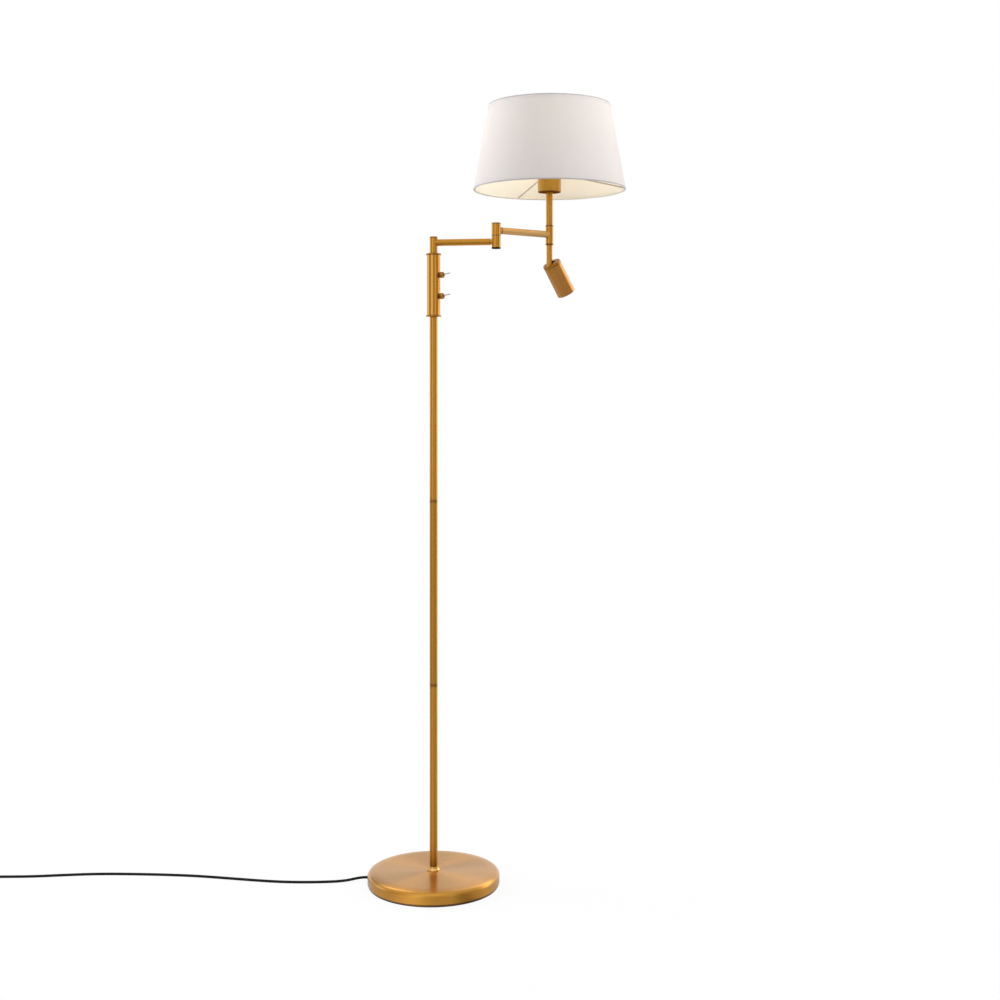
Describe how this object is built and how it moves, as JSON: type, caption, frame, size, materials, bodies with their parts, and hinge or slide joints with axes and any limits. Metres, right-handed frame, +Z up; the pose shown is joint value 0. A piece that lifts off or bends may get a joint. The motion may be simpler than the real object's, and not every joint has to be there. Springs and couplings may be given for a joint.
{
  "type": "adjustable floor lamp",
  "caption": "Brass floor lamp with a weighted round base, a switch housing on the pole, a swinging elbow arm, a tapered drum shade above the arm's end and a tilting spot below it.",
  "frame": {"origin": "centre of the base pad's underside, on the floor", "axes": "+Z up along the pole, +X to the right as pictured, +Y away from the viewer"},
  "size_m": [1.3012, 0.3295, 1.4905],
  "materials": {
    "brushed_brass": "satin brass, fine brushed grain round each turned piece",
    "polished_brass": "polished brass",
    "bare_brass": "plain turned brass",
    "cast_iron": "as cast",
    "pad": "thin dark anti-slip pad",
    "steel": "turned steel",
    "chrome": "bright plated",
    "washer_plastic": "dark bearing plastic",
    "black_plastic": "moulded black",
    "holder_plastic": "white moulded",
    "shade_fabric": "off-white woven fabric on a stiff lining",
    "shade_wire": "grey coated wire",
    "bulb_cap": "rolled screw cap",
    "bulb_glass": "frosted",
    "aluminium": "turned",
    "led_board": "white board",
    "lens": "moulded clear lens",
    "cord": "black sheathed cord, matt"
  },
  "bodies": {
    "stand": {"base_pad": "pad", "base_weight": "cast_iron", "base_cover": "brushed_brass", "base_stud": "steel", "base_nut": "steel", "cord_grommet": "cord", "pole_collar": "polished_brass", "pole_lower": "brushed_brass", "pole_middle": "brushed_brass", "pole_upper": "brushed_brass", "pole_joint_lower": "bare_brass", "pole_joint_upper": "bare_brass", "housing_lower_collar": "polished_brass", "switch_housing": "brushed_brass", "housing_upper_collar": "polished_brass", "switch_body_lower": "black_plastic", "switch_body_upper": "black_plastic", "toggle_bushing_lower": "polished_brass", "toggle_bushing_upper": "polished_brass", "swivel_spindle": "steel", "swivel_washer": "washer_plastic", "pole_lead": "cord", "cord_run": "cord", "cord_coil": "cord", "cord_tie": "black_plastic", "plug_body": "black_plastic", "plug_pins": "chrome"},
    "lower_switch_lever": {"toggle_lever_lower": "chrome"},
    "upper_switch_lever": {"toggle_lever_upper": "chrome"},
    "lower_arm": {"swivel_post": "brushed_brass", "post_cap": "brushed_brass", "lower_arm_tube": "brushed_brass", "elbow_lower_knuckle": "brushed_brass", "elbow_bottom_plug": "black_plastic", "elbow_pin": "steel", "elbow_washer": "washer_plastic"},
    "upper_arm": {"elbow_upper_knuckle": "brushed_brass", "elbow_top_cap": "brushed_brass", "upper_arm_tube": "brushed_brass", "hub": "brushed_brass", "upper_stem": "brushed_brass", "holder_cup": "brushed_brass", "lamp_holder": "holder_plastic", "shade_carrier": "shade_wire", "shade_ring": "holder_plastic", "shade_top_ring": "shade_wire", "shade_fabric": "shade_fabric", "bulb_cap": "bulb_cap", "bulb_glass": "bulb_glass"},
    "spot_carrier": {"spot_stem": "brushed_brass", "stem_clip": "steel"},
    "spot_head": {"spot_cap": "brushed_brass", "spot_pin": "steel", "spot_shell": "brushed_brass", "spot_heat_sink": "aluminium", "spot_led_board": "led_board", "spot_lens": "lens", "spot_bezel": "black_plastic"}
  },
  "joints": [
    {"name": "arm_swivel", "type": "hinge", "parent": "stand", "child": "lower_arm", "pos_m": [0, 0, 1.198], "axis": [0, 0, 1], "range_deg": [-165, 165]},
    {"name": "elbow", "type": "hinge", "parent": "lower_arm", "child": "upper_arm", "pos_m": [0.11877, -0.01711, 1.2302], "axis": [0, 0, 1], "range_deg": [-170, 85]},
    {"name": "spot_swivel", "type": "hinge", "parent": "upper_arm", "child": "spot_carrier", "pos_m": [0.22191, 0.05699, 1.2197], "axis": [0, 0, 1], "range_deg": [-170, 170]},
    {"name": "spot_tilt", "type": "hinge", "parent": "spot_carrier", "child": "spot_head", "pos_m": [0.22191, 0.05699, 1.1767], "axis": [0.5835, -0.8121, 0], "range_deg": [-33, 22]},
    {"name": "lower_toggle", "type": "hinge", "parent": "stand", "child": "lower_switch_lever", "pos_m": [0.01414, -0.00659, 1.1168], "axis": [-0.4226, -0.9063, 0], "range_deg": [-20, 0]},
    {"name": "upper_toggle", "type": "hinge", "parent": "stand", "child": "upper_switch_lever", "pos_m": [0.01414, -0.00659, 1.1568], "axis": [-0.4226, -0.9063, 0], "range_deg": [-20, 0]}
  ]
}
